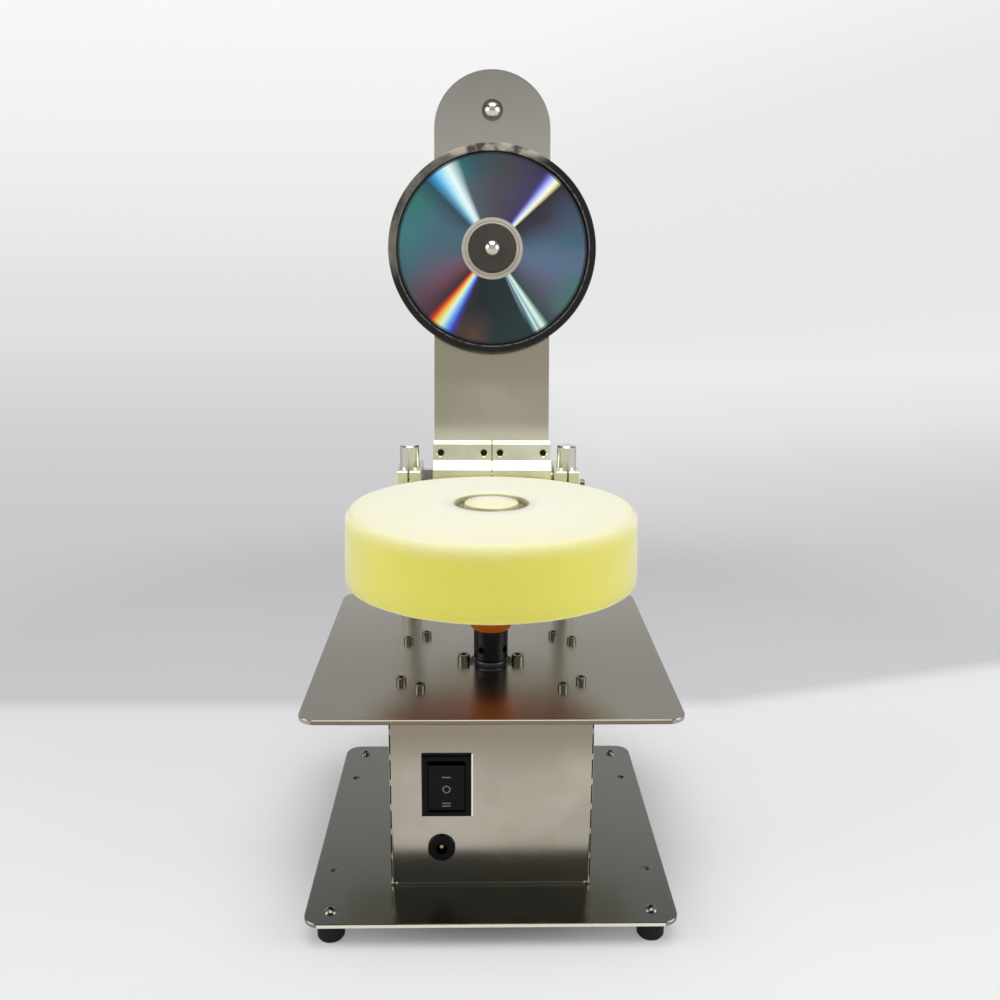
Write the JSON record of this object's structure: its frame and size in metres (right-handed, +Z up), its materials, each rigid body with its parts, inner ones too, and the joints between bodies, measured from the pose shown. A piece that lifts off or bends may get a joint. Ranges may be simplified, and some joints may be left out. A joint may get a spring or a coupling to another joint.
{
  "type": "disc polishing machine",
  "caption": "Bench machine that spins a round foam pad under a hinged arm carrying a free-running disc tray, on a folded steel motor housing with guide rods.",
  "frame": {"origin": "centre of the machine's footprint, on the surface under the rubber feet", "axes": "+Z up along the spindle, +X to the right of someone facing the switch, +Y to the back, where the arm is hinged"},
  "size_m": [0.19, 0.2664, 0.4537],
  "materials": {
    "brushed_plate": "brushed stainless sheet",
    "folded_sheet": "brushed stainless sheet, folded",
    "rubber": "black rubber",
    "steel_screw": "bright stainless fastener",
    "ground_rod": "ground and polished steel",
    "milled_block": "milled aluminium",
    "bronze": "plain bearing bronze",
    "motor_steel": "zinc plated steel",
    "magnet": "ferrite",
    "black_steel": "black oxide steel",
    "orange_plastic": "moulded orange plastic",
    "foam": "soft yellow polishing foam",
    "black_plastic": "black moulded plastic",
    "rocker_plastic": "glossy black moulded plastic",
    "contact_metal": "plated contact metal",
    "disc": "clear disc over a mirror layer"
  },
  "bodies": {
    "frame": {"base_plate": "brushed_plate", "rubber_feet": "rubber", "foot_screws": "steel_screw", "motor_housing": "folded_sheet", "housing_back": "folded_sheet", "base_screws": "steel_screw", "base_nuts": "steel_screw", "platform_plate": "brushed_plate", "platform_screws": "steel_screw", "platform_nuts": "steel_screw", "motor_can": "motor_steel", "motor_magnets": "magnet", "motor_end_cap": "black_plastic", "motor_terminals": "contact_metal", "motor_screws": "steel_screw", "switch_body": "black_plastic", "switch_terminals": "contact_metal", "power_jack": "black_plastic", "power_jack_pin": "contact_metal", "power_jack_nut": "black_plastic", "guide_rod_left": "ground_rod", "guide_rod_right": "ground_rod", "rod_washers": "steel_screw", "rod_nuts": "steel_screw"},
    "spindle": {"motor_shaft": "ground_rod", "motor_armature": "motor_steel", "motor_commutator": "bronze", "shaft_coupler": "black_steel", "coupler_set_screws": "steel_screw", "pad_backing": "orange_plastic", "foam_pad": "foam"},
    "rocker": {"switch_rocker": "rocker_plastic"},
    "carriage": {"clamp_block_left": "milled_block", "clamp_block_right": "milled_block", "clamp_bolts": "steel_screw", "cross_shaft": "ground_rod", "shaft_set_screws": "steel_screw", "bridge_plate": "brushed_plate", "bridge_screws": "steel_screw", "shaft_spacer": "steel_screw"},
    "arm": {"pivot_block_left": "milled_block", "pivot_block_right": "milled_block", "pivot_bushes": "bronze", "arm_plate": "brushed_plate", "block_screws": "steel_screw", "handle_washer": "steel_screw", "handle_screw": "steel_screw", "handle_knob": "black_plastic", "bearing_outer_ring": "ground_rod"},
    "turntable": {"bearing_inner_ring": "ground_rod", "bearing_balls": "ground_rod", "tray_spacer": "ground_rod", "disc_tray": "black_plastic", "polished_disc": "disc", "disc_cap": "black_plastic", "centre_screw": "steel_screw", "lock_washer": "steel_screw", "lock_nut": "steel_screw"}
  },
  "joints": [
    {"name": "spindle_spin", "type": "hinge", "parent": "frame", "child": "spindle", "pos_m": [0, -0.05221, 0.133], "axis": [0, 0, 1], "continuous": true},
    {"name": "switch_rock", "type": "hinge", "parent": "frame", "child": "rocker", "pos_m": [-0.02325, -0.09651, 0.0725], "axis": [1, 0, 0], "range_deg": [-12, 12]},
    {"name": "carriage_slide", "type": "slide", "parent": "frame", "child": "carriage", "axis": [0, 0, 1], "range_m": [0, 0.012]},
    {"name": "arm_fold", "type": "hinge", "parent": "carriage", "child": "arm", "pos_m": [0, 0.05379, 0.2023], "axis": [1, 0, 0], "range_deg": [0, 96.5]},
    {"name": "tray_spin", "type": "hinge", "parent": "arm", "child": "turntable", "pos_m": [0.0015, 0.09096, 0.34254], "axis": [0, -0.9857, 0.1685], "continuous": true}
  ]
}
